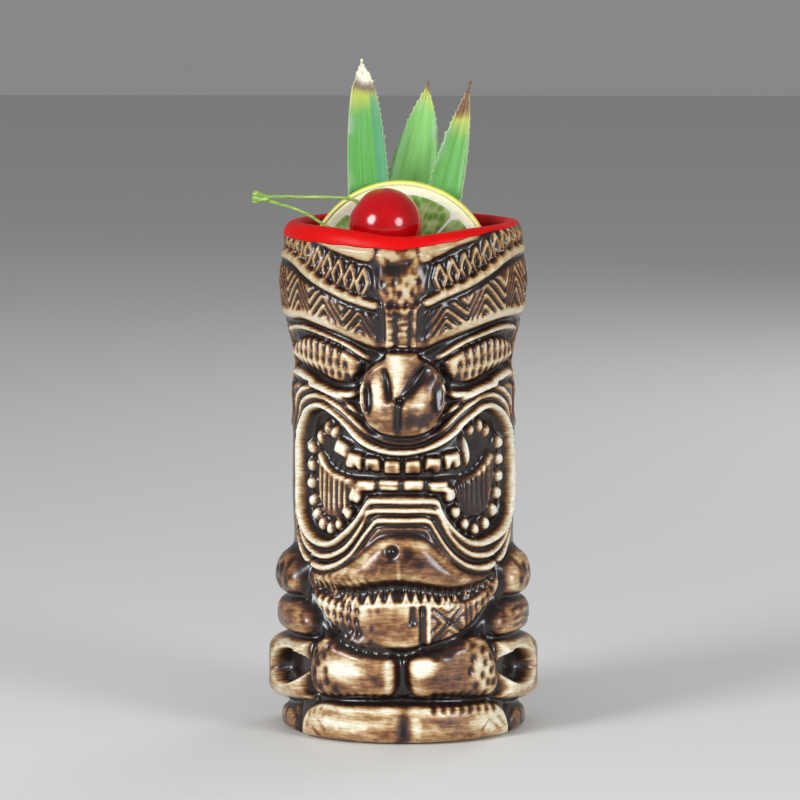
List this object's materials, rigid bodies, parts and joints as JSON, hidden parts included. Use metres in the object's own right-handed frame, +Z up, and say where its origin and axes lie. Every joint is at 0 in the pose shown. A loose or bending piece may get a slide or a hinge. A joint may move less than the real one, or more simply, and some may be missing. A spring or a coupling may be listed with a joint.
{
  "type": "tiki mug",
  "caption": "Tall carved tiki mug with a red-glazed lip and hollow, served with lift-out pineapple leaves, a lemon wheel and a joined pair of stemmed cherries.",
  "frame": {"origin": "middle of the flat base, on the table", "axes": "+Z up from the table through the middle of the lip, the carved face towards -Y, +X to the right of someone facing it"},
  "size_m": [0.0905, 0.0811, 0.2123],
  "materials": {
    "stained_ceramic": "ivory glaze over brown stain, satin gloss",
    "red_glaze": "bright red, high gloss",
    "leaf": "waxy green, satin",
    "rind": "waxy yellow",
    "pith": "soft matte",
    "flesh": "wet, translucent",
    "cherry": "dark red, wet gloss",
    "stem": "fresh green, satin"
  },
  "bodies": {
    "mug": {"ceramic_body": "stained_ceramic", "red_glaze_lining": "red_glaze"},
    "leaf_left": {"pineapple_leaf_left": "leaf"},
    "leaf_middle": {"pineapple_leaf_middle": "leaf"},
    "leaf_right": {"pineapple_leaf_right": "leaf"},
    "lemon_wheel": {"lemon_rind": "rind", "lemon_pith": "pith", "lemon_segments": "flesh"},
    "cherry_pair": {"cherry_front": "cherry", "cherry_rear": "cherry", "cherry_stem_front": "stem", "cherry_stem_rear": "stem", "stem_knob": "stem"}
  },
  "joints": [
    {"name": "leaf_left_lift", "type": "slide", "parent": "mug", "child": "leaf_left", "axis": [-0.0522, 0, 0.9986], "range_m": [0, 0.16]},
    {"name": "leaf_middle_lift", "type": "slide", "parent": "mug", "child": "leaf_middle", "axis": [0.1454, 0, 0.9894], "range_m": [0, 0.16]},
    {"name": "leaf_right_lift", "type": "slide", "parent": "mug", "child": "leaf_right", "axis": [0.227, 0, 0.9739], "range_m": [0, 0.165]},
    {"name": "lemon_lift", "type": "slide", "parent": "mug", "child": "lemon_wheel", "axis": [0, 0, 1], "range_m": [0, 0.055]},
    {"name": "cherry_lift", "type": "slide", "parent": "mug", "child": "cherry_pair", "axis": [0, 0, 1], "range_m": [0, 0.045]}
  ]
}
